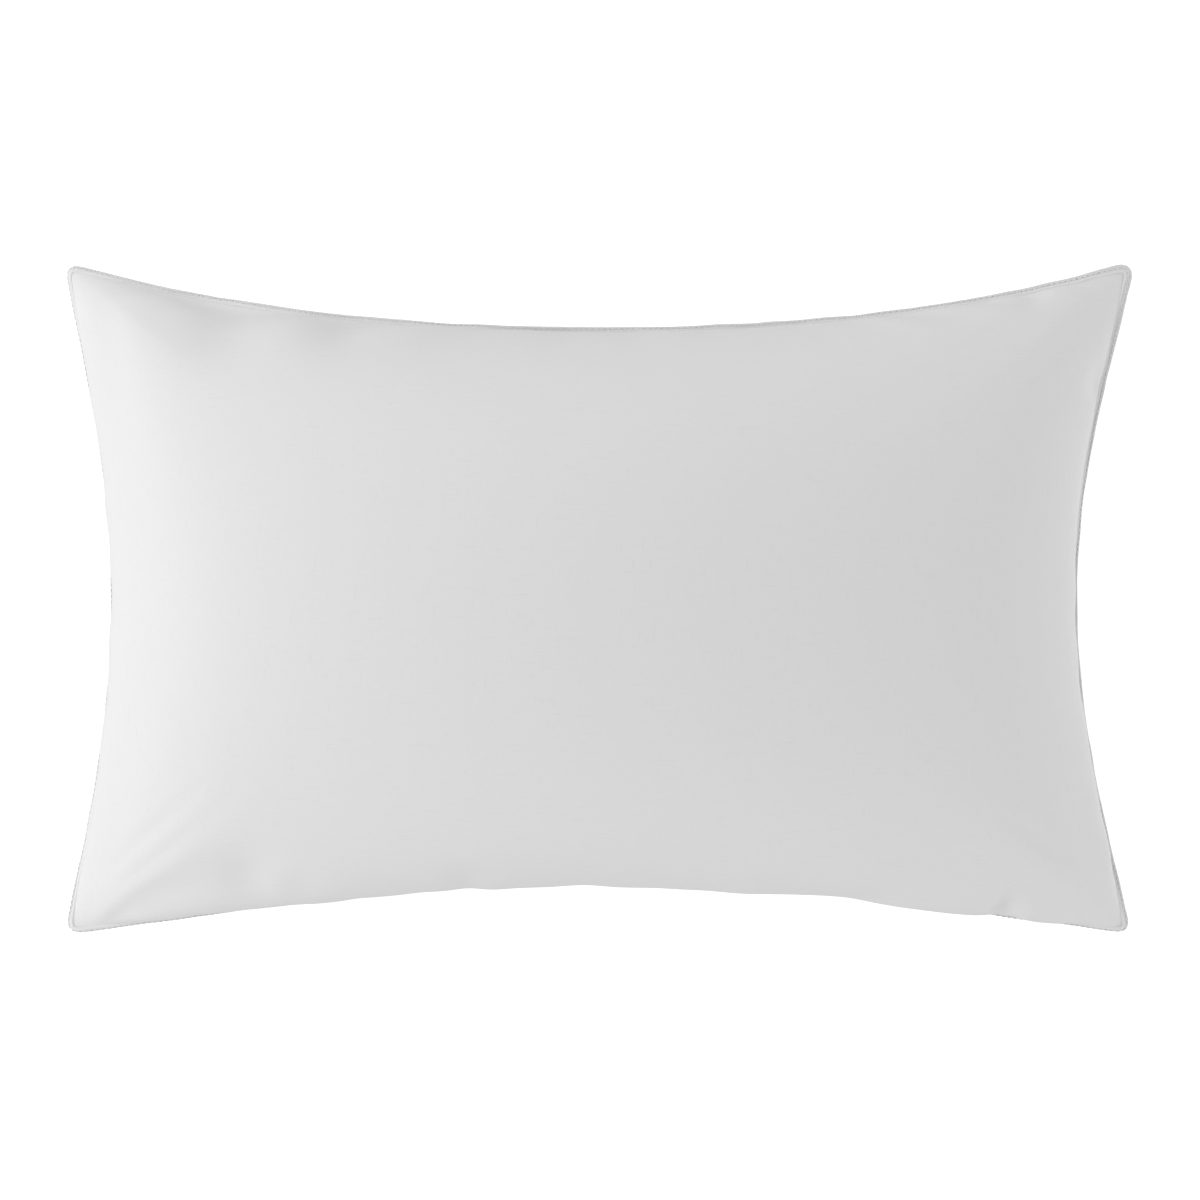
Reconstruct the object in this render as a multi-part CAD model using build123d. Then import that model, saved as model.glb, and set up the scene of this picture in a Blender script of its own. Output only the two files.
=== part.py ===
from build123d import *
import os
from math import sqrt

# A stuffed bed pillow, lying on its back panel.
# X runs along its length, Y across its width and Z up through its thickness.
# The origin is the middle of the flat patch that it rests on. Millimetres.

# Driving dimensions
PANEL_LENGTH = 800.0        # each panel as it is sewn, laid flat
PANEL_WIDTH = 500.0
LOFT = 180.0                # thickness of the stuffed pillow in the middle
LENGTH_DRAWN_IN = 20.0      # stuffing brings the corners this much closer together
WIDTH_DRAWN_IN = 10.0
LONG_SIDE_BOW = 41.0        # how far the middle of a long side pulls in between its corners
SHORT_SIDE_BOW = 39.0
CLOTH = 1.0                 # the woven cotton, drawn thicker than its real 0.3
LIP = 4.0                   # edge-stitched lip outside the line where the panels part
ALLOWANCE = 10.0            # seam allowance turned to the inside
THREAD = 0.5                # diameter of a sewing thread

# Shape of the crown
SEAM_HEIGHT = 0.43 * LOFT   # the seam sits a little under half way up
BELLY = 94.0                # depth of the underside before the floor flattens it
DEGREE = 6                  # of the surfaces in each direction
CROSS_SWELL = [0, 1.45, 0.90, 0.98, 0.90, 1.45, 0]      # control heights across the width
LENGTH_SWELL = [0, 1.20, 1.05, 0.90, 1.05, 1.20, 0]     # and along the length

# Clearances and seam layout
PANEL_GAP = 0.1             # between the two panels in the seam
CORE_SETBACK = 16.0         # the fibre stops short of the seam allowance
CORE_GAP = 0.5              # between the fibre and the cloth
STITCH_OUT = 1.2            # edge stitching, outside the line where the panels part
NEEDLE_IN = 4.0             # overlock needle line, inside it
LOOPER_IN = 9.0             # looper threads, along the raw edges

# Care label
LABEL_WIDTH = 25.0
LABEL_DROP = 38.0
LABEL_CLOTH = 0.7           # two leaves of folded satin
LABEL_X = 250.0             # on the long side at -Y
LABEL_CAUGHT = 6.0          # the top of the label that the seam holds

HALF_LENGTH = (PANEL_LENGTH - LENGTH_DRAWN_IN) / 2 - LIP
HALF_WIDTH = (PANEL_WIDTH - WIDTH_DRAWN_IN) / 2 - LIP
RING_TOP = SEAM_HEIGHT + PANEL_GAP / 2 + CLOTH
CROWN = LOFT - RING_TOP


def pulled_in(along, half, bow):
    """How far a bowed side has pulled in, at a distance along it from its middle."""
    radius = (half**2 + bow**2) / (2 * bow)
    return sqrt(radius**2 - along**2) - (radius - bow)


def square(k):
    """Control value k of the square of a surface parameter that runs from -1 to 1."""
    return 4 * k * (k - 1) / (DEGREE * (DEGREE - 1)) - 4 * k / DEGREE + 1


def dome(inset, base, height, flat_at=None):
    """A closed crowned solid standing on a level base, cut flat at a height where it rests."""
    half_length = HALF_LENGTH - inset
    half_width = HALF_WIDTH - inset
    net = []
    for i in range(DEGREE + 1):
        p = 2 * i / DEGREE - 1
        row = []
        for j in range(DEGREE + 1):
            q = 2 * j / DEGREE - 1
            x = p * (half_length - SHORT_SIDE_BOW * (1 - square(j)))
            y = q * (half_width - LONG_SIDE_BOW * (1 - square(i)))
            row.append((x, y, base + height * LENGTH_SWELL[i] * CROSS_SWELL[j]))
        net.append(row)
    skin = Face.make_bezier_surface(net)
    floor = Face(Wire(skin.edges()))
    whole = Solid(Shell([skin, floor]))
    if flat_at is None:
        return whole
    return split(whole, bisect_by=Plane((0, 0, flat_at)), keep=Keep.BOTTOM)


def turned_over(solid):
    """The same solid on the other side of the seam plane."""
    return mirror(solid, about=Plane((0, 0, SEAM_HEIGHT)))


def outline(offset_out):
    """The pillow's plan outline, offset outwards from the line where the panels part."""
    corners = [
        (HALF_LENGTH, HALF_WIDTH),
        (-HALF_LENGTH, HALF_WIDTH),
        (-HALF_LENGTH, -HALF_WIDTH),
        (HALF_LENGTH, -HALF_WIDTH),
    ]
    middles = [
        (0, HALF_WIDTH - LONG_SIDE_BOW),
        (SHORT_SIDE_BOW - HALF_LENGTH, 0),
        (0, LONG_SIDE_BOW - HALF_WIDTH),
        (HALF_LENGTH - SHORT_SIDE_BOW, 0),
    ]
    sides = [
        ThreePointArc(corners[i], middles[i], corners[(i + 1) % 4])
        for i in range(4)
    ]
    corner = Kind.ARC if offset_out > 0 else Kind.INTERSECTION
    return Wire(sides).offset_2d(offset_out, corner)


def seam_ring():
    """The flat ring of one panel in the seam: its lip outside and its allowance inside."""
    ring = Face(outline(LIP)) - Face(outline(-ALLOWANCE))
    return Pos(0, 0, RING_TOP - CLOTH) * extrude(ring, CLOTH)


def front_panel():
    """The upper woven cotton panel."""
    outside = dome(0, RING_TOP, CROWN)
    inside = dome(CLOTH, RING_TOP, CROWN - CLOTH)
    return (outside - inside) + seam_ring()


def back_panel():
    """The lower woven cotton panel, flat where the pillow rests."""
    resting = 2 * SEAM_HEIGHT
    outside = dome(0, RING_TOP, BELLY, resting)
    inside = dome(CLOTH, RING_TOP, BELLY - CLOTH, resting - CLOTH)
    return turned_over((outside - inside) + seam_ring())


def fiberfill_core():
    """The loose polyester fibre, as the one mass that it packs into."""
    skin = CLOTH + CORE_GAP
    rise = RING_TOP - SEAM_HEIGHT - skin
    upper = dome(CORE_SETBACK, SEAM_HEIGHT, CROWN + rise)
    lower = dome(CORE_SETBACK + CORE_GAP, SEAM_HEIGHT, BELLY + rise, 2 * SEAM_HEIGHT - skin)
    return upper + turned_over(lower)


def strand(path, z):
    """A thread laid along a flat path at one height."""
    wire = Pos(0, 0, z) * path
    section = Plane(wire @ 0, z_dir=wire % 0) * Circle(THREAD / 2)
    return sweep(section, path=wire)


def on_cloth(side):
    """Height of a thread that lies on the outside of the seam: side 1 is above it, -1 below."""
    return SEAM_HEIGHT + side * (PANEL_GAP / 2 + CLOTH + THREAD / 2 + 0.05)


def overlock_run(inset, z):
    """One overlock thread: a run on each short side and on the long side at -Y."""
    sides = outline(-inset).edges().sort_by(Axis.Y)[:-1]
    return Compound([strand(side.trim(0.04, 0.96), z) for side in sides])


def care_label():
    """A blank folded label, caught in the seam and hanging from it."""
    edge_y = HALF_WIDTH - pulled_in(LABEL_X, HALF_LENGTH, LONG_SIDE_BOW) + LIP
    half = LABEL_CLOTH / 2
    outer = edge_y + 2 * LABEL_CLOTH
    section = make_face(
        Polyline(
            (edge_y - LABEL_CAUGHT, -half),
            (outer, -half),
            (outer, LABEL_DROP),
            (outer - LABEL_CLOTH, LABEL_DROP),
            (outer - LABEL_CLOTH, half),
            (edge_y - LABEL_CAUGHT, half),
            close=True,
        )
    )
    across = Plane((LABEL_X, 0, SEAM_HEIGHT), x_dir=(0, -1, 0), z_dir=(1, 0, 0))
    return extrude(across * section, LABEL_WIDTH / 2, both=True)


def parts():
    """Every piece by the name of its node."""
    return {
        "front_panel": front_panel(),
        "back_panel": back_panel(),
        "fiberfill_core": fiberfill_core(),
        "edge_stitch_needle_thread": strand(outline(STITCH_OUT), on_cloth(1)),
        "edge_stitch_bobbin_thread": strand(outline(STITCH_OUT), on_cloth(-1)),
        "overlock_needle_thread": overlock_run(NEEDLE_IN, on_cloth(1)),
        "overlock_upper_looper_thread": overlock_run(LOOPER_IN, on_cloth(1)),
        "overlock_lower_looper_thread": overlock_run(LOOPER_IN, on_cloth(-1)),
        "care_label": care_label(),
    }


os.makedirs("parts", exist_ok=True)
for node, solid in parts().items():
    export_step(solid, f"parts/{node}.step")
    print(node, len(solid.solids()), round(solid.volume))
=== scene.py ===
import math
import bpy
import numpy as np
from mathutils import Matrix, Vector, noise

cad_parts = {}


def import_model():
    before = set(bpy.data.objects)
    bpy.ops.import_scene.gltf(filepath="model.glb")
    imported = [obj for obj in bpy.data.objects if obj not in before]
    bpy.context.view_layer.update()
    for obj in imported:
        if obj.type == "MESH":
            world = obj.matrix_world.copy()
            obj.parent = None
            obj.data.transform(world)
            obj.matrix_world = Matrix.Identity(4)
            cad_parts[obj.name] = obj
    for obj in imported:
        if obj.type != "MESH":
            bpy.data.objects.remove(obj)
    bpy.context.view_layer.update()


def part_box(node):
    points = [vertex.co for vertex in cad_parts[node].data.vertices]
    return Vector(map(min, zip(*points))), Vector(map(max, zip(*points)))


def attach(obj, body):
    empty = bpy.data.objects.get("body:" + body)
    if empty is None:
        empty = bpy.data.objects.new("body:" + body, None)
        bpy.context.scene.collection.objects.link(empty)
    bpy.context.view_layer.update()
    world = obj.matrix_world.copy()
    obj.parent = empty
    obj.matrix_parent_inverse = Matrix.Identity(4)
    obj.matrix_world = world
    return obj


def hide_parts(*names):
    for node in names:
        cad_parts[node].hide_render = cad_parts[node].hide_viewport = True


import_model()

# A bed pillow lying on its back panel. X runs along it, Y across it and Z up. Metres.
MM = 0.001

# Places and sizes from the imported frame
FRONT_LOW, FRONT_HIGH = (Vector(corner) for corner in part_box("front_panel"))
SEAM_Z = FRONT_LOW.z
RISE = FRONT_HIGH.z - SEAM_Z
LABEL_LOW, LABEL_HIGH = (Vector(corner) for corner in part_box("care_label"))

# The cloth as it is cut
PANEL_LENGTH, PANEL_WIDTH = 0.800, 0.500
CLOTH_THICK = 0.0004
ALLOWANCE = 0.010                       # seam allowance, turned to the inside
CORNER_ROUND = 0.006

# The form that the fibre stuffs it to
LIP = 0.0031                            # stitched lip outside the line where the panels part
TIP_LOSS = 0.001                        # what the rounding takes off a corner, along X and along Y
HALF_LENGTH = FRONT_HIGH.x - LIP + TIP_LOSS
HALF_WIDTH = FRONT_HIGH.y - LIP + TIP_LOSS
BELLY = 1.18 * SEAM_Z                   # depth of the underside before the floor flattens it
CROWN_ARC = 0.93 * math.pi / 2          # half the arc that the cloth follows over the crown
CROWN_ALONG, CROWN_ACROSS = 0.60, 0.85  # powers of that arc along X and Y: below 1 it is fuller
RIM_POWER = 8                           # how closely the crown's arc gives way to the seam's outline
BULGE_REACH = 0.060                     # how far in from the seam the cloth swells out over it
BULGE_PEAK = 6.75                       # brings the swelling's curve up to 1 at its highest
BULGE_UNEVEN, BULGE_UNEVEN_LENGTH = 0.20, 0.23      # the length is in halves of the side
BULGE_FADE = 8                          # power with which it fades to the corners
BACK_BULGE = 0.3                        # share of that swelling on the back panel

# Each side of the seam: how far it pulls in, how pointed its curve is, and how far the cloth
# swells out over it at its -X or -Y end and at its +X or +Y end
SIDE_PLUS_Y = (0.0465, -0.15, 0.008, 0.005)
SIDE_MINUS_Y = (0.0370, 0.25, 0.012, 0.018)
SIDE_PLUS_X = (0.0405, 0.25, 0.013, 0.004)
SIDE_MINUS_X = (0.0335, 0.25, 0.009, 0.012)

# Unevenness of the seam line: how much, and over what length
AT_SEAM = 0.999                         # a panel point this far out, from 0 to 1, is on the seam
SEAM_WAVE, SEAM_WAVE_LENGTH = 0.0018, 0.060
SEAM_RIPPLE, SEAM_RIPPLE_LENGTH = 0.0006, 0.020
SEAM_SWAY, SEAM_SWAY_LENGTH = 0.0007, 0.025

# How the cloth settles on the floor
FLOOR_SINK = -0.0012                    # the height that it would settle to at last
FLOOR_REACH = 0.012                     # how far above that it starts to settle

# The simulated cloth
CLOTH_STEP = 0.0074                     # spacing of its points
COLUMNS = round(PANEL_LENGTH / CLOTH_STEP)
ROWS = round(PANEL_WIDTH / CLOTH_STEP)
FLAT_GAP = 0.001                        # half the distance between the panels as they are cut
SIM_FRAMES = 20
MOST_MOVE = 0.030                       # the furthest that it may take a point from the form

# Gathers along the seam
PUCKER = 0.0036                         # their depth
PUCKER_REACH = 0.026                    # how far in from the seam they fade
PUCKER_WIDTH, PUCKER_RUN = 0.034, 0.15  # their size along the seam and away from it
SEAM_HOLD = 0.005                       # how far in the seam still holds the cloth in place

# Hollows where the fibre leaves the cloth slack beside the seam: x, y, reach, depth
HOLLOWS = [
    (-0.268, 0.207, 0.034, 0.0070),
    (-0.185, 0.203, 0.022, 0.0035),
    (-0.252, -0.203, 0.022, 0.0045),
    (-0.215, -0.207, 0.012, 0.0025),
    (0.316, 0.226, 0.009, 0.0055),
    (0.296, -0.226, 0.012, 0.0080),
    (-0.095, -0.206, 0.012, 0.0040),
    (0.368, 0.155, 0.012, 0.0060),
]

# The rim and its folded lip
RIM_STEP = 0.001
RIM_SMOOTHING = 9                       # rounds of it
LEAN = 0.65                             # angle of the lip below level, in radians
LEAN_X, LEAN_Y = 0.35, 0.40             # what facing +X or +Y takes off it
LEAN_SWAY, LEAN_SWAY_LENGTH = 0.8, 0.075
LEAN_RANGE = (-0.1, 1.2)
LIP_WIDER = 0.40                        # at the corner towards +X and +Y
LIP_WIDER_REACH = 0.085
WIDENS_FROM = 2                         # millimetres out
DIMPLE = 0.00045                        # how far each needle hole draws the lip in
DIMPLE_AT, DIMPLE_REACH = 1.8, 1.2      # millimetres out
SLOPE_IN = 0.45                         # how fast the allowance narrows to a corner
LEAST_ALLOWANCE = 0.002
ALLOWANCE_UNDER, ALLOWANCE_OVER = 0.00012, 0.0005   # how far its two faces are from the seam plane
LIP_SECTIONS = 4                        # to a pitch of the stitching: at a needle hole and between in turn
OUTER_FACE = 0.5                        # millimetres: a section's points above this are on its outer face

# Half the lip's section, in millimetres out from the parting line and away from the other panel
LIP_SECTION = [
    (-1.9, 0.30), (-1.3, 0.85), (-0.5, 1.00), (0.3, 0.95), (0.8, 0.82), (1.3, 0.68), (1.8, 0.84),
    (2.3, 1.00), (2.7, 0.92), (2.95, 0.65), (3.1, 0.38), (2.95, 0.12), (2.4, 0.05), (1.3, 0.04),
]

# Fibre
FIBRE_DEPTH = 0.0028                    # how far it lies inside the cloth's outer face
FIBRE_LUMPS, FIBRE_LUMP_SIZE = 0.0012, 0.045
FIBRE_TRIM = 3                          # grid steps that it stops short of the seam

# Threads
THREAD = 0.00070
STITCH = 0.0042                         # pitch of the zigzag
STITCH_POINTS = 12                      # points of the thread to a pitch
STITCH_OUT = 0.0016                     # edge stitching, outside the parting line
STITCH_SWING = 0.0008                   # how far it swings either way
STITCH_SWAY, STITCH_SWAY_LENGTH = 0.00015, 0.030
STITCH_LOW, STITCH_ARCH = 0.00040, 0.00085      # height in a needle hole, and rise between two
OVERLOCK_SHARE = 0.8                    # of the edge stitching's thickness
OVERLOCK_MARGIN = 0.030                 # from each end of a side
LOOPER_OUTS = (-4.2, -6.8, -9.6, -6.8)  # millimetres out from the parting line, point by point

# Care label, in millimetres unless it says otherwise
LABEL_DROP = 36.0
LABEL_HEAD = [(-4.0, 0.0), (0.0, 0.0), (0.9, -0.9), (1.6, -2.2), (2.1, -4.0)]   # out and up, from the seam
LABEL_SWELL, LABEL_SWELL_TURN = 0.9, 2.6        # bow of the hanging part, and its angle in radians
LABEL_LEAF_GAP = 0.55
LABEL_FOLD = (-0.2, -0.35)              # from the end of the front leaf to the fold
LABEL_LIFT, LABEL_HELD = 0.25, -1.0     # of the back leaf, and the height above which the seam lifts it
LABEL_CURL, LABEL_TWIST = 1.6, 0.5
LABEL_THICK = 0.00016                   # metres

# Stage and camera
FLOOR_HALF = 40.0
FLOOR_GLOW = 0.55
SKY_GLOW = 0.53
LIGHT_TARGET = (0, 0, 0.05)
CAMERA_TARGET = (0.001, 0.000, SEAM_Z)
CAMERA_REACH = 2.30                     # height above the seam
CAMERA_LEAN_X, CAMERA_LEAN_Y = math.radians(-0.3), math.radians(0.8)
VIEW_WIDTH = 0.878                      # what the camera sees at the seam's height
SENSOR = 36                             # millimetres


# ------------------------------------------------------------------ form of the stuffed pillow

def bow(t, pointed):
    """Share of a side's pull-in, at t from -1 to 1 along it."""
    return (1 - pointed) * (1 - t**2) + pointed * math.cos(math.pi * t / 2) ** 2


def rounded(p, q):
    """The panel point (p, q), moved in where the panel's corners are rounded off."""
    reach_p, reach_q = 2 * CORNER_ROUND / PANEL_LENGTH, 2 * CORNER_ROUND / PANEL_WIDTH
    a, b = 1 + (abs(p) - 1) / reach_p, 1 + (abs(q) - 1) / reach_q
    if min(a, b) <= 0:
        return p, q
    drawn_a, drawn_b = a * math.sqrt(1 - b * b / 2), b * math.sqrt(1 - a * a / 2)
    return math.copysign(1 + (drawn_a - 1) * reach_p, p), math.copysign(1 + (drawn_b - 1) * reach_q, q)


def wobble(x, y, size, seed):
    """A smooth uneven value about 0."""
    return noise.noise(Vector((x / size, y / size, seed)))


def soft_floor(z):
    """Lets a height settle onto the floor without a crease."""
    above = z - FLOOR_SINK
    return z if above > FLOOR_REACH else FLOOR_SINK + FLOOR_REACH * math.exp(above / FLOOR_REACH - 1)


def overhang(distance, along, first, last):
    """How far the cloth swells outwards, at a distance in from a side and from -1 to 1 along it."""
    band = min(distance / BULGE_REACH, 1)
    most = first + (last - first) * (along + 1) / 2
    uneven = 1 + BULGE_UNEVEN * wobble(along, first, BULGE_UNEVEN_LENGTH, 12.5)
    return most * uneven * BULGE_PEAK * band * (1 - band) ** 2 * (1 - along**BULGE_FADE)


def form_point(p, q, side):
    """Where the cloth point (p, q), each from -1 to 1, lies on the form. side is 1 or -1."""
    arc = CROWN_ARC
    swell_p, swell_q = ((math.cos(t * arc) - math.cos(arc)) / (1 - math.cos(arc)) for t in (p, q))
    rim = max(abs(p), abs(q)) ** RIM_POWER
    x_share, y_share = (t * rim + (1 - rim) * math.sin(t * arc) / math.sin(arc) for t in rounded(p, q))
    x_bow, x_pointed, *x_swell = SIDE_PLUS_X if p > 0 else SIDE_MINUS_X
    y_bow, y_pointed, *y_swell = SIDE_PLUS_Y if q > 0 else SIDE_MINUS_Y
    x = x_share * (HALF_LENGTH - x_bow * bow(y_share, x_pointed))
    y = y_share * (HALF_WIDTH - y_bow * bow(x_share, y_pointed))
    height = RISE if side > 0 else BELLY
    crown = max(swell_p, 0) ** CROWN_ALONG * max(swell_q, 0) ** CROWN_ACROSS
    z = SEAM_Z + side * height * crown
    swelling = 1 if side > 0 else BACK_BULGE
    x += math.copysign(swelling * overhang((1 - abs(p)) * PANEL_LENGTH / 2, q, *x_swell), p)
    y += math.copysign(swelling * overhang((1 - abs(q)) * PANEL_WIDTH / 2, p, *y_swell), q)
    if max(abs(p), abs(q)) > AT_SEAM:
        z += (SEAM_WAVE * wobble(x, y, SEAM_WAVE_LENGTH, 3.1)
              + SEAM_RIPPLE * wobble(x, y, SEAM_RIPPLE_LENGTH, 7.7))
        x += SEAM_SWAY * wobble(x, y, SEAM_SWAY_LENGTH, 5.3)
        y += SEAM_SWAY * wobble(x, y, SEAM_SWAY_LENGTH, 9.1)
    return x, y, soft_floor(z)


# ------------------------------------------------------------------ the sewn panels, blown up by simulation

def cloth_grid():
    """The two panels as one closed mesh: places on the form, flat places as cut, faces, index."""
    places, flats, index = [], [], {}
    for side in (1, -1):
        for j in range(ROWS + 1):
            for i in range(COLUMNS + 1):
                p, q = 2 * i / COLUMNS - 1, 2 * j / ROWS - 1
                if side < 0 and (i in (0, COLUMNS) or j in (0, ROWS)):
                    index[side, i, j] = index[1, i, j]
                    continue
                index[side, i, j] = len(places)
                places.append(form_point(p, q, side))
                flat_p, flat_q = rounded(p, q)
                flats.append((flat_p * PANEL_LENGTH / 2, flat_q * PANEL_WIDTH / 2, side * FLAT_GAP))
    faces = []
    for side in (1, -1):
        for j in range(ROWS):
            for i in range(COLUMNS):
                loop = [index[side, a, b] for a, b in ((i, j), (i + 1, j), (i + 1, j + 1), (i, j + 1))]
                faces.append(loop if side > 0 else loop[::-1])
    return places, flats, faces, index


def add_object(name, vertices, faces, smooth=True):
    """A mesh object at the origin."""
    mesh = bpy.data.meshes.new(name)
    mesh.from_pydata([tuple(v) for v in vertices], [], faces)
    mesh.validate()
    mesh.polygons.foreach_set("use_smooth", [smooth] * len(mesh.polygons))
    piece = bpy.data.objects.new(name, mesh)
    bpy.context.scene.collection.objects.link(piece)
    return piece


def simulate(places, flats, faces, index):
    """Blows the sewn panels up by cloth simulation and returns where their points come to rest."""
    bag = add_object("bag", places, faces)
    bag.shape_key_add(name="form")
    cut = bag.shape_key_add(name="cut")
    cut.data.foreach_set("co", np.array(flats, dtype=np.float32).ravel())
    rim = {index[1, i, j] for i in range(COLUMNS + 1) for j in range(ROWS + 1)
           if i in (0, COLUMNS) or j in (0, ROWS)}
    held = bag.vertex_groups.new(name="seam")
    held.add(list(rim), 1.0, "REPLACE")
    cloth = bag.modifiers.new("cloth", "CLOTH")
    settings = cloth.settings
    settings.quality = 8
    settings.mass = 0.3
    settings.air_damping = 4
    settings.tension_stiffness = 15
    settings.compression_stiffness = 15
    settings.shear_stiffness = 5
    settings.bending_stiffness = 0.5
    settings.tension_damping = 15
    settings.compression_damping = 15
    settings.shear_damping = 10
    settings.bending_damping = 0.5
    settings.use_pressure = True
    settings.uniform_pressure_force = 4
    settings.effector_weights.gravity = 0
    settings.vertex_group_mass = "seam"
    settings.rest_shape_key = cut
    scene = bpy.context.scene
    scene.frame_start, scene.frame_end = 1, SIM_FRAMES
    cloth.point_cache.frame_start, cloth.point_cache.frame_end = 1, SIM_FRAMES
    for step in range(1, SIM_FRAMES + 1):
        scene.frame_set(step)
    settled = bag.evaluated_get(bpy.context.evaluated_depsgraph_get()).to_mesh()
    result = np.empty(len(places) * 3)
    settled.vertices.foreach_get("co", result)
    result = result.reshape(-1, 3)
    mesh = bag.data
    bpy.data.objects.remove(bag)
    bpy.data.meshes.remove(mesh)
    scene.frame_set(1)
    start = np.array(places)
    move = result - start
    length = np.linalg.norm(move, axis=1)
    share = np.minimum(1, MOST_MOVE / np.maximum(length, 1e-9))
    result = start + move * share[:, None]
    result[:, 2] = [soft_floor(z) for z in result[:, 2]]
    return result


places, flats, faces, index = cloth_grid()
settled = np.array(places)
settled = simulate(places, flats, faces, index)


# ------------------------------------------------------------------ gathers and hollows, pressed in

def inward(grid, side, depth):
    """A grid moved into the pillow, each point by its own depth."""
    normal = np.cross(np.gradient(grid, axis=1), np.gradient(grid, axis=0))
    normal *= side / np.linalg.norm(normal, axis=2)[:, :, None]
    return grid - normal * depth[:, :, None]


def slack(point, i, j, side):
    """How far in the cloth lies at a grid point: the gathers along the seam, and the hollows."""
    u, v = i * PANEL_LENGTH / COLUMNS, j * PANEL_WIDTH / ROWS
    from_short, from_long = min(u, PANEL_LENGTH - u), min(v, PANEL_WIDTH - v)
    along_long = noise.noise(Vector((u / PUCKER_WIDTH, v / PUCKER_RUN, 2.0 * side)))
    along_short = noise.noise(Vector((u / PUCKER_RUN, v / PUCKER_WIDTH, 5.0 * side)))
    depth = PUCKER * along_long * math.exp(-from_long / PUCKER_REACH)
    depth += PUCKER * along_short * math.exp(-from_short / PUCKER_REACH)
    if side > 0:
        for x, y, reach, most in HOLLOWS:
            depth += most * math.exp(-((point[0] - x) ** 2 + (point[1] - y) ** 2) / reach**2)
    return depth * (1 - math.exp(-min(from_short, from_long) / SEAM_HOLD))


GRIDS = {}
for side in (1, -1):
    grid = np.array([[settled[index[side, i, j]] for i in range(COLUMNS + 1)] for j in range(ROWS + 1)])
    depth = np.array([[slack(grid[j, i], i, j, side) for i in range(COLUMNS + 1)] for j in range(ROWS + 1)])
    GRIDS[side] = inward(grid, side, depth)


# ------------------------------------------------------------------ the rim, as a smooth closed line

def rim_line():
    """The parting line as evenly spaced points, smoothed, counterclockwise from above."""
    grid = GRIDS[1]
    loop = np.concatenate([grid[0, :-1], grid[:-1, -1], grid[-1, :0:-1], grid[:0:-1, 0]])
    closed = np.vstack([loop, loop[:1]])
    run = np.concatenate([[0], np.cumsum(np.linalg.norm(np.diff(closed, axis=0), axis=1))])
    count = round(run[-1] / RIM_STEP)
    even = np.linspace(0, run[-1], count, endpoint=False)
    line = np.column_stack([np.interp(even, run, closed[:, k]) for k in range(3)])
    for _ in range(RIM_SMOOTHING):
        line = (np.roll(line, 1, axis=0) + 2 * line + np.roll(line, -1, axis=0)) / 4
    return line


RIM = rim_line()
RIM_RUN = np.concatenate([[0], np.cumsum(np.linalg.norm(np.roll(RIM, -1, axis=0) - RIM, axis=1))])
RIM_LENGTH = RIM_RUN[-1]
TANGENT = np.roll(RIM, -1, axis=0) - np.roll(RIM, 1, axis=0)
OUTWARD = np.column_stack([TANGENT[:, 1], -TANGENT[:, 0], np.zeros(len(RIM))])
OUTWARD /= np.linalg.norm(OUTWARD, axis=1)[:, None]
CORNERS = [RIM_RUN[np.argmax(RIM[:, 0] * sx + RIM[:, 1] * sy)]
           for sx, sy in ((-1, -1), (1, -1), (1, 1), (-1, 1))]


def on_rim(run, out, up):
    """Points beside the rim: at lengths along it, offset outwards in plan and upwards."""
    run = np.mod(run, RIM_LENGTH)
    base = [np.interp(run, RIM_RUN, np.append(RIM[:, k], RIM[0, k])) for k in range(3)]
    away = [np.interp(run, RIM_RUN, np.append(OUTWARD[:, k], OUTWARD[0, k])) for k in range(2)]
    return np.column_stack([base[0] + away[0] * out, base[1] + away[1] * out, base[2] + up])


def on_lip(run, out, up):
    """Points of the lip, which leans down from the rim by an uneven angle, most at -X and -Y."""
    away_x, away_y = (np.interp(np.mod(run, RIM_LENGTH), RIM_RUN[:-1], OUTWARD[:, k]) for k in range(2))
    sway = LEAN_SWAY * np.array([wobble(r, 0, LEAN_SWAY_LENGTH, 21.0) for r in run])
    lean = np.clip(LEAN - LEAN_Y * away_y - LEAN_X * away_x + sway, *LEAN_RANGE) * (np.asarray(out) > 0)
    return on_rim(run, out * np.cos(lean) + up * np.sin(lean), up * np.cos(lean) - out * np.sin(lean))


def from_corner(run):
    """Distance along the rim to the nearest corner."""
    gaps = [np.abs((run - corner + RIM_LENGTH / 2) % RIM_LENGTH - RIM_LENGTH / 2) for corner in CORNERS]
    return np.min(gaps, axis=0)


def swept_faces(count, sides, closed):
    """Faces between a number of rings in a row, which closes on itself or has its ends capped."""
    faces = []
    for n in range(count if closed else count - 1):
        after = (n + 1) % count
        for k in range(sides):
            k_next = (k + 1) % sides
            faces.append((n * sides + k, after * sides + k, after * sides + k_next, n * sides + k_next))
    if not closed:
        faces.append(tuple(range(sides)))
        faces.append(tuple(range((count - 1) * sides, count * sides))[::-1])
    return faces


def sweep_ring(runs, profile):
    """Vertices and faces of a closed profile swept round the rim. profile gives (out, up) rows."""
    rings = [on_lip(runs, out, up) for out, up in profile]
    return np.stack(rings, axis=1).reshape(-1, 3), swept_faces(len(runs), len(rings), closed=True)


def tube(line, radius, sides=6, closed=False):
    """Vertices and faces of a thin round tube along a line of points."""
    if closed:
        along = np.roll(line, -1, axis=0) - np.roll(line, 1, axis=0)
    else:
        along = np.gradient(line, axis=0)
    along /= np.linalg.norm(along, axis=1)[:, None]
    side = np.cross(along, (0, 0, 1.0))
    side /= np.linalg.norm(side, axis=1)[:, None]
    top = np.cross(side, along)
    turns = 2 * math.pi * np.arange(sides) / sides
    rings = line[:, None, :] + radius * (np.cos(turns)[None, :, None] * side[:, None, :]
                                         + np.sin(turns)[None, :, None] * top[:, None, :])
    return rings.reshape(-1, 3), swept_faces(len(line), sides, closed)


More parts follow.
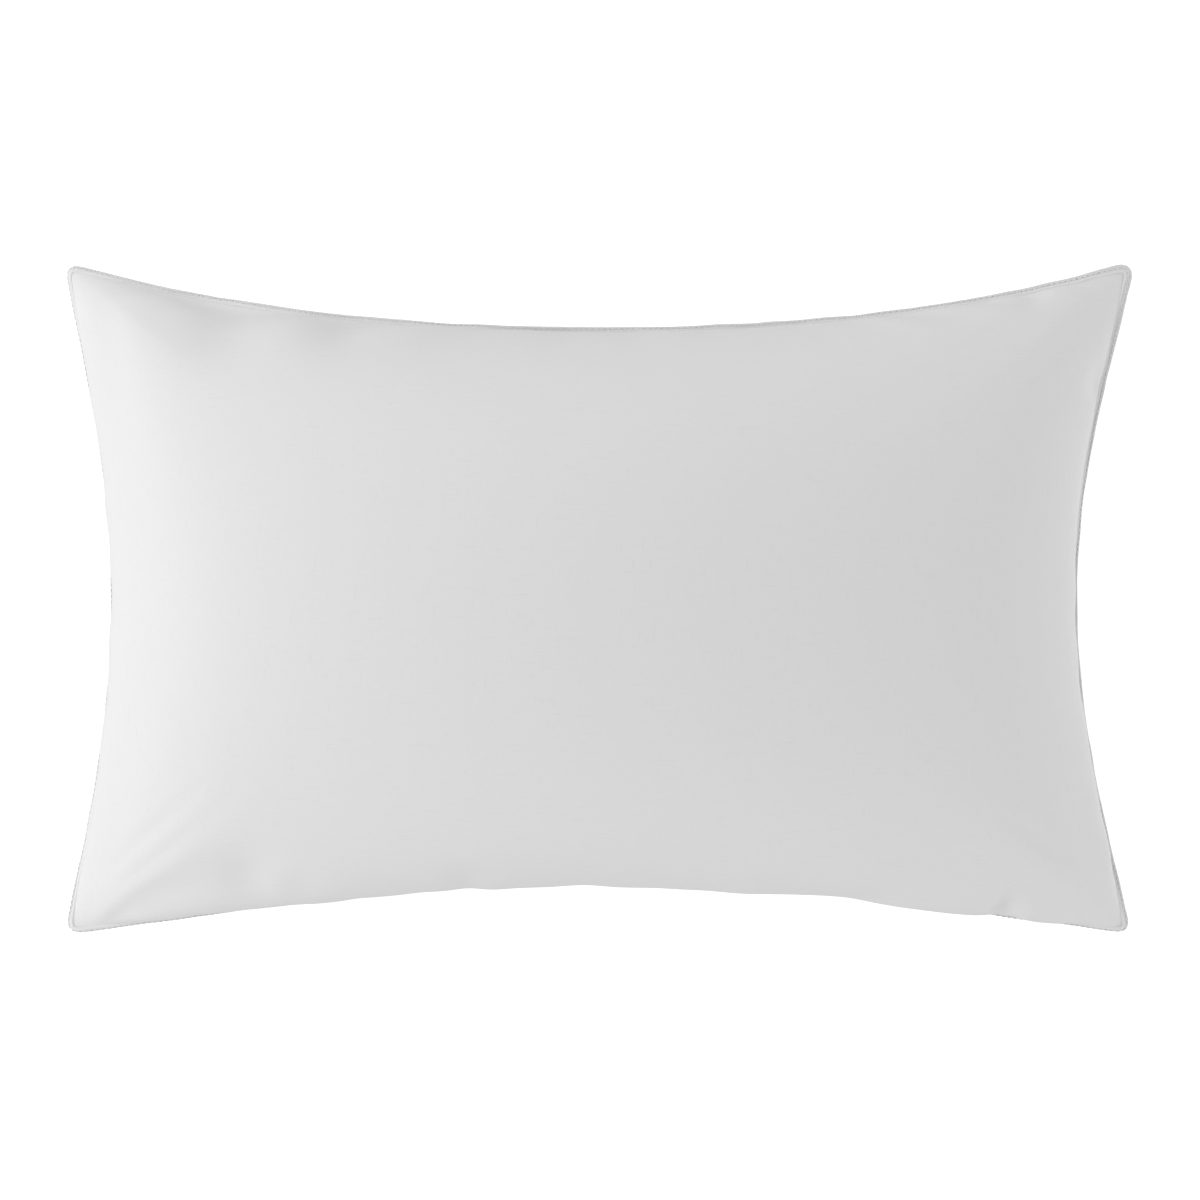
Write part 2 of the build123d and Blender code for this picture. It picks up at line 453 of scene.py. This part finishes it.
def join(shapes):
    """Several (vertices, faces) as one."""
    vertices, faces = [], []
    for some, loops in shapes:
        faces += [tuple(len(vertices) + v for v in loop) for loop in loops]
        vertices += [tuple(v) for v in some]
    return vertices, faces


def apply_modifiers(piece):
    """Makes what the modifiers show the piece's own mesh."""
    shown = bpy.data.meshes.new_from_object(piece.evaluated_get(bpy.context.evaluated_depsgraph_get()))
    piece.modifiers.clear()
    piece.data = shown


# ------------------------------------------------------------------ panels

def grid_faces(rows, columns, up):
    """Quads of a grid of vertices, facing up or down."""
    faces = []
    for j in range(rows - 1):
        for i in range(columns - 1):
            loop = (j * columns + i, j * columns + i + 1, (j + 1) * columns + i + 1, (j + 1) * columns + i)
            faces.append(loop if up > 0 else loop[::-1])
    return faces


def uneven_lip(runs, seed, *waves):
    """A factor about 1 along the rim, from waves of (amount, length, second seed)."""
    return np.array([1 + sum(amount * wobble(run, seed, size, wave) for amount, size, wave in waves)
                     for run in runs])


def lip_ring(up):
    """One panel's folded edge: the lip, and its seam allowance inside."""
    count = round(RIM_LENGTH / STITCH) * LIP_SECTIONS
    runs = np.arange(count) * RIM_LENGTH / count
    allowance = np.clip(from_corner(runs) * SLOPE_IN, LEAST_ALLOWANCE, ALLOWANCE)
    holes = np.cos(math.pi * np.arange(count))
    plump = uneven_lip(runs, up, (0.10, 0.021, 2.2), (0.12, 0.008, 4.4))
    wide = uneven_lip(runs, up, (0.10, 0.035, 6.6), (0.05, 0.009, 1.4))
    wide += LIP_WIDER * np.exp(-(((runs - CORNERS[2]) / LIP_WIDER_REACH) ** 4))
    profile = [(-allowance, ALLOWANCE_UNDER * up), (-allowance, ALLOWANCE_OVER * up)]
    for out, height in LIP_SECTION:
        outside = height > OUTER_FACE
        dimple = -DIMPLE * holes * math.exp(-((out - DIMPLE_AT) / DIMPLE_REACH) ** 2) if outside else 0
        profile.append((MM * out * (wide if out > WIDENS_FROM else 1),
                        up * (MM * height * (plump if outside else 1) + dimple)))
    if up < 0:
        profile = profile[::-1]
    return sweep_ring(runs, profile)


def panel(name, side):
    """One woven panel: its crowned cloth and its folded edge."""
    grid = GRIDS[side]
    dome = add_object(name, grid.reshape(-1, 3), grid_faces(ROWS + 1, COLUMNS + 1, side))
    smooth = dome.modifiers.new("smooth", "SUBSURF")
    smooth.levels = 1
    thick = dome.modifiers.new("thick", "SOLIDIFY")
    thick.thickness = CLOTH_THICK
    thick.offset = -1
    apply_modifiers(dome)
    vertices = [tuple(v.co) for v in dome.data.vertices]
    faces = [tuple(f.vertices) for f in dome.data.polygons]
    bpy.data.objects.remove(dome)
    return add_object(name, *join([(vertices, faces), lip_ring(side)]))


front = panel("front_cloth", 1)
back = panel("back_cloth", -1)


# ------------------------------------------------------------------ fibre

def fibre():
    """The mass of loose fibre, a little lumpy, filling the cloth up to the seam allowance."""
    halves = []
    for side in (1, -1):
        grid = GRIDS[side]
        lumps = np.array([[wobble(x, y, FIBRE_LUMP_SIZE, 11.0 * side) for x, y, z in row] for row in grid])
        moved = inward(grid, side, FIBRE_DEPTH + FIBRE_LUMPS * lumps)
        halves.append(moved[FIBRE_TRIM:-FIBRE_TRIM, FIBRE_TRIM:-FIBRE_TRIM])
    rows, columns = halves[0].shape[:2]
    vertices = np.vstack([half.reshape(-1, 3) for half in halves])
    size = rows * columns
    faces = grid_faces(rows, columns, 1)
    faces += [tuple(v + size for v in loop) for loop in grid_faces(rows, columns, -1)]
    edge = [(0, i) for i in range(columns)] + [(j, columns - 1) for j in range(1, rows)]
    edge += [(rows - 1, i) for i in range(columns - 2, -1, -1)] + [(j, 0) for j in range(rows - 2, 0, -1)]
    ring = [j * columns + i for j, i in edge]
    for a, b in zip(ring, ring[1:] + ring[:1]):
        faces.append((a, a + size, b + size, b))
    return add_object("fibre_filling", vertices, faces)


filling = fibre()


# ------------------------------------------------------------------ threads

def edge_stitching(name, up):
    """The thread of the edge stitching on one side of the lip, dipping into each needle hole."""
    count = round(RIM_LENGTH / STITCH) * STITCH_POINTS
    step = np.arange(count)
    runs = step * RIM_LENGTH / count
    phase = (step % STITCH_POINTS) / STITCH_POINTS
    heights = STITCH_LOW + STITCH_ARCH * np.abs(np.sin(2 * math.pi * phase)) ** 0.5
    swing = STITCH_SWING * (1 - 4 * np.abs(phase - 0.5))
    sway = np.array([STITCH_SWAY * wobble(run, 0, STITCH_SWAY_LENGTH, 8.8) for run in runs])
    line = on_lip(runs, STITCH_OUT + swing + sway, up * heights)
    return add_object(name, *tube(line, THREAD / 2, closed=True))


def overlock(name, outs, ups):
    """One thread of the hidden overlock seam, on the two short sides and the long one at -Y.

    outs and ups are in millimetres and repeat along it once each stitch.
    """
    lengths = []
    for first, last in ((3, 0), (0, 1), (1, 2)):
        begin = CORNERS[first] + OVERLOCK_MARGIN
        end = CORNERS[last] - OVERLOCK_MARGIN
        end += RIM_LENGTH if end < begin else 0
        stitches = round((end - begin) / STITCH)
        count = stitches * len(outs)
        runs = np.linspace(begin, end, count)
        out = np.array([outs[n % len(outs)] for n in range(count)]) * MM
        up = np.array([ups[n % len(ups)] for n in range(count)]) * MM
        lengths.append(tube(on_rim(runs, out, up), THREAD / 2 * OVERLOCK_SHARE, sides=5))
    return add_object(name, *join(lengths))


needle = edge_stitching("edge_stitches_front", 1)
bobbin = edge_stitching("edge_stitches_back", -1)
lock_needle = overlock("overlock_needle", (-4.0, -4.0, -4.0, -4.0), (0.3, 0.8, 0.8, 0.3))
lock_upper = overlock("overlock_upper_looper", LOOPER_OUTS, (0.9, 0.8, 0.7, 0.8))
lock_lower = overlock("overlock_lower_looper", LOOPER_OUTS, (-0.9, -0.8, -0.7, -0.8))


# ------------------------------------------------------------------ care label

def label():
    """The blank satin label: one strip folded in two, caught in the seam and hanging from it."""
    centre = (LABEL_LOW.x + LABEL_HIGH.x) / 2
    half = (LABEL_HIGH.x - LABEL_LOW.x) / 2
    away = np.abs(RIM[:, 0] - centre)
    run = RIM_RUN[np.argmin(np.where(RIM[:, 1] < 0, away, math.inf))]
    free_out, free_up = LABEL_HEAD[-1]
    leaf = LABEL_HEAD + [
        (free_out + LABEL_SWELL * math.sin(t * LABEL_SWELL_TURN), free_up - (LABEL_DROP + free_up) * t)
        for t in np.linspace(0.08, 1, 16)
    ]
    fold = (leaf[-1][0] + LABEL_FOLD[0], leaf[-1][1] + LABEL_FOLD[1])
    back_leaf = [
        (out - LABEL_LEAF_GAP, up + (LABEL_LIFT if up > LABEL_HELD else 0))
        for out, up in leaf[-2::-1]
    ]
    path = leaf + [fold] + back_leaf
    columns = 21
    vertices = []
    for out, up in path:
        share = min(1.0, -up / LABEL_DROP)
        for n in range(columns):
            across = 2 * n / (columns - 1) - 1
            curl = LABEL_CURL * share**2 * across**2 + LABEL_TWIST * share * across
            vertices.append(on_rim(np.array([run + across * half]), MM * (out + curl), MM * up)[0])
    strip = add_object("care_label_satin", vertices, grid_faces(len(path), columns, 1))
    thick = strip.modifiers.new("thick", "SOLIDIFY")
    thick.thickness = LABEL_THICK
    thick.offset = 0
    apply_modifiers(strip)
    length = sum(math.dist(a, b) for a, b in zip(path, path[1:])) * MM
    return strip, 2 * half, length


satin, LABEL_WIDTH, LABEL_LENGTH = label()


# ------------------------------------------------------------------ materials

BAND_PERIOD = 0.314                     # of a wave texture's bands, at a scale of 1


def new_material(name, roughness, sheen):
    """A node material, its nodes and links, its Principled shader and its object coordinates."""
    material = bpy.data.materials.new(name)
    material.use_nodes = True
    nodes, links = material.node_tree.nodes, material.node_tree.links
    shader = nodes["Principled BSDF"]
    shader.inputs["Roughness"].default_value = roughness
    shader.inputs["Sheen Weight"].default_value = sheen
    shader.inputs["Sheen Roughness"].default_value = 0.5
    shader.inputs["Specular IOR Level"].default_value = 0.25
    place = nodes.new("ShaderNodeTexCoord")
    return material, nodes, links, shader, place.outputs["Object"]


def noise_node(nodes, links, place, scale, detail, stretch=(1, 1, 1)):
    """A noise texture in object coordinates."""
    mapping = nodes.new("ShaderNodeMapping")
    mapping.inputs["Scale"].default_value = stretch
    links.new(place, mapping.inputs["Vector"])
    texture = nodes.new("ShaderNodeTexNoise")
    texture.inputs["Scale"].default_value = scale
    texture.inputs["Detail"].default_value = detail
    links.new(mapping.outputs["Vector"], texture.inputs["Vector"])
    return texture.outputs["Fac"]


def grey(level):
    """A neutral colour."""
    return level, level, level


def ramp_colour(nodes, links, value, low, high, at_low, at_high):
    """A colour that runs from one to another as a value goes from low to high."""
    ramp = nodes.new("ShaderNodeValToRGB")
    ramp.color_ramp.elements[0].position = low
    ramp.color_ramp.elements[0].color = (*at_low, 1)
    ramp.color_ramp.elements[1].position = high
    ramp.color_ramp.elements[1].color = (*at_high, 1)
    links.new(value, ramp.inputs["Fac"])
    return ramp.outputs["Color"]


def bump(nodes, links, height, distance, strength, before=None):
    """A bump node, after another if there is one."""
    node = nodes.new("ShaderNodeBump")
    node.inputs["Distance"].default_value = distance
    node.inputs["Strength"].default_value = strength
    links.new(height, node.inputs["Height"])
    if before is not None:
        links.new(before, node.inputs["Normal"])
    return node.outputs["Normal"]


def weave(nodes, links, place, pitch):
    """Height of a plain weave: yarns of one pitch both ways, over and under."""
    waves = []
    for axis in ("X", "Y"):
        texture = nodes.new("ShaderNodeTexWave")
        texture.wave_type = "BANDS"
        texture.bands_direction = axis
        texture.inputs["Scale"].default_value = BAND_PERIOD / pitch
        texture.inputs["Distortion"].default_value = 0.6
        texture.inputs["Detail"].default_value = 1
        links.new(place, texture.inputs["Vector"])
        waves.append(texture.outputs["Fac"])
    mix = nodes.new("ShaderNodeMath")
    mix.operation = "MULTIPLY"
    links.new(waves[0], mix.inputs[0])
    links.new(waves[1], mix.inputs[1])
    return mix.outputs[0]


def cotton():
    """White plain-woven cotton ticking with slightly uneven yarns."""
    material, nodes, links, shader, place = new_material("white_cotton_ticking", roughness=0.86, sheen=0.12)
    slub_x = noise_node(nodes, links, place, scale=620, detail=2, stretch=(0.10, 1, 1))
    slub_y = noise_node(nodes, links, place, scale=620, detail=2, stretch=(1, 0.10, 1))
    either = nodes.new("ShaderNodeMath")
    either.operation = "MAXIMUM"
    links.new(slub_x, either.inputs[0])
    links.new(slub_y, either.inputs[1])
    colour = ramp_colour(nodes, links, either.outputs[0], 0.60, 0.76, grey(0.812), grey(0.788))
    links.new(colour, shader.inputs["Base Color"])
    yarns = weave(nodes, links, place, pitch=0.0006)
    normal = bump(nodes, links, yarns, distance=0.00006, strength=0.5)
    normal = bump(nodes, links, slub_x, distance=0.00012, strength=0.4, before=normal)
    normal = bump(nodes, links, slub_y, distance=0.00012, strength=0.4, before=normal)
    links.new(normal, shader.inputs["Normal"])
    return material


def thread_finish():
    """Spun polyester sewing thread: fine slanting plies."""
    material, nodes, links, shader, place = new_material("white_sewing_thread", roughness=0.6, sheen=0.2)
    plies = noise_node(nodes, links, place, scale=2600, detail=2, stretch=(1, 1, 0.4))
    colour = ramp_colour(nodes, links, plies, 0.3, 0.7, (0.78, 0.775, 0.77), (0.87, 0.868, 0.865))
    links.new(colour, shader.inputs["Base Color"])
    links.new(bump(nodes, links, plies, distance=0.0001, strength=0.6), shader.inputs["Normal"])
    return material


def fibre_finish():
    """Crimped polyester fibre."""
    material, nodes, links, shader, place = new_material("polyester_fibre", roughness=0.95, sheen=0.3)
    curls = noise_node(nodes, links, place, scale=260, detail=6, stretch=(1, 0.5, 1))
    colour = ramp_colour(nodes, links, curls, 0.3, 0.7, grey(0.74), grey(0.9))
    links.new(colour, shader.inputs["Base Color"])
    links.new(bump(nodes, links, curls, distance=0.002, strength=0.8), shader.inputs["Normal"])
    return material


def satin_finish():
    """Blank white satin ribbon."""
    material, nodes, links, shader, place = new_material("label_satin", roughness=0.42, sheen=0.1)
    floats = noise_node(nodes, links, place, scale=900, detail=2, stretch=(0.1, 1, 1))
    colour = ramp_colour(nodes, links, floats, 0.3, 0.7, grey(0.80), grey(0.86))
    links.new(colour, shader.inputs["Base Color"])
    links.new(bump(nodes, links, floats, distance=0.00005, strength=0.4), shader.inputs["Normal"])
    return material


def dress(piece, material, slot, *nodes):
    """Gives a piece its material and its body, and hides the CAD nodes it stands for. slot is not used."""
    piece.data.materials.clear()
    piece.data.materials.append(material)
    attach(piece, "pillow")
    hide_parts(*nodes)


COTTON, SEWING, FIBRE, SATIN = cotton(), thread_finish(), fibre_finish(), satin_finish()
dress(front, COTTON, "ticking_cotton", "front_panel")
dress(back, COTTON, "ticking_cotton", "back_panel")
dress(filling, FIBRE, "polyester_fibre", "fiberfill_core")
dress(needle, SEWING, "sewing_thread", "edge_stitch_needle_thread")
dress(bobbin, SEWING, "sewing_thread", "edge_stitch_bobbin_thread")
dress(lock_needle, SEWING, "sewing_thread", "overlock_needle_thread")
dress(lock_upper, SEWING, "sewing_thread", "overlock_upper_looper_thread")
dress(lock_lower, SEWING, "sewing_thread", "overlock_lower_looper_thread")
dress(satin, SATIN, "label_satin", "care_label")


# ------------------------------------------------------------------ stage, light and camera

def floor():
    """A plain white studio table, which throws no light up at the pillow."""
    corners = [(FLOOR_HALF * x, FLOOR_HALF * y, 0) for x, y in ((-1, -1), (1, -1), (1, 1), (-1, 1))]
    table = add_object("studio_floor", corners, [(0, 1, 2, 3)], smooth=False)
    material, nodes, links, shader, place = new_material("white_table", roughness=0.9, sheen=0.0)
    tone = noise_node(nodes, links, place, scale=2, detail=2)
    colour = ramp_colour(nodes, links, tone, 0.3, 0.7, grey(0.93), grey(0.95))
    links.new(colour, shader.inputs["Base Color"])
    shader.inputs["Emission Color"].default_value = (1, 1, 1, 1)
    shader.inputs["Emission Strength"].default_value = FLOOR_GLOW
    table.data.materials.append(material)
    table.visible_diffuse = False


def soft_light(name, place, width, height, power):
    """A softbox aimed at the middle of the pillow."""
    light = bpy.data.lights.new(name, "AREA")
    light.shape = "RECTANGLE"
    light.size, light.size_y = width, height
    light.energy = power
    holder = bpy.data.objects.new(name, light)
    holder.location = place
    holder.rotation_euler = (Vector(LIGHT_TARGET) - Vector(place)).to_track_quat("-Z", "Y").to_euler()
    bpy.context.scene.collection.objects.link(holder)


def camera():
    """Looks down on the pillow from straight above, but for a slight lean to -X and +Y."""
    slant = Vector((math.tan(CAMERA_LEAN_X), math.tan(CAMERA_LEAN_Y), 1))
    eye = bpy.data.cameras.new("camera")
    eye.sensor_width = SENSOR
    eye.lens = SENSOR * CAMERA_REACH / VIEW_WIDTH
    holder = bpy.data.objects.new("camera", eye)
    holder.location = Vector(CAMERA_TARGET) + slant * CAMERA_REACH
    holder.rotation_euler = (-CAMERA_LEAN_Y, CAMERA_LEAN_X, 0)
    bpy.context.scene.collection.objects.link(holder)
    bpy.context.scene.camera = holder


def world():
    """An even white sky."""
    sky = bpy.data.worlds.new("studio")
    sky.use_nodes = True
    background = sky.node_tree.nodes["Background"]
    background.inputs["Color"].default_value = (1, 1, 1, 1)
    background.inputs["Strength"].default_value = SKY_GLOW
    bpy.context.scene.world = sky


floor()
soft_light("key", (-1.9, 0.10, 1.40), width=1.8, height=1.8, power=28)
soft_light("fill", (2.2, -0.2, 0.36), width=0.6, height=0.6, power=11)
soft_light("far_strip", (0.1, 1.8, 0.36), width=1.8, height=0.6, power=5)
soft_light("near_strip", (0.1, -1.8, 0.36), width=1.8, height=0.6, power=5)
camera()
world()
bpy.context.scene.view_settings.view_transform = "Standard"
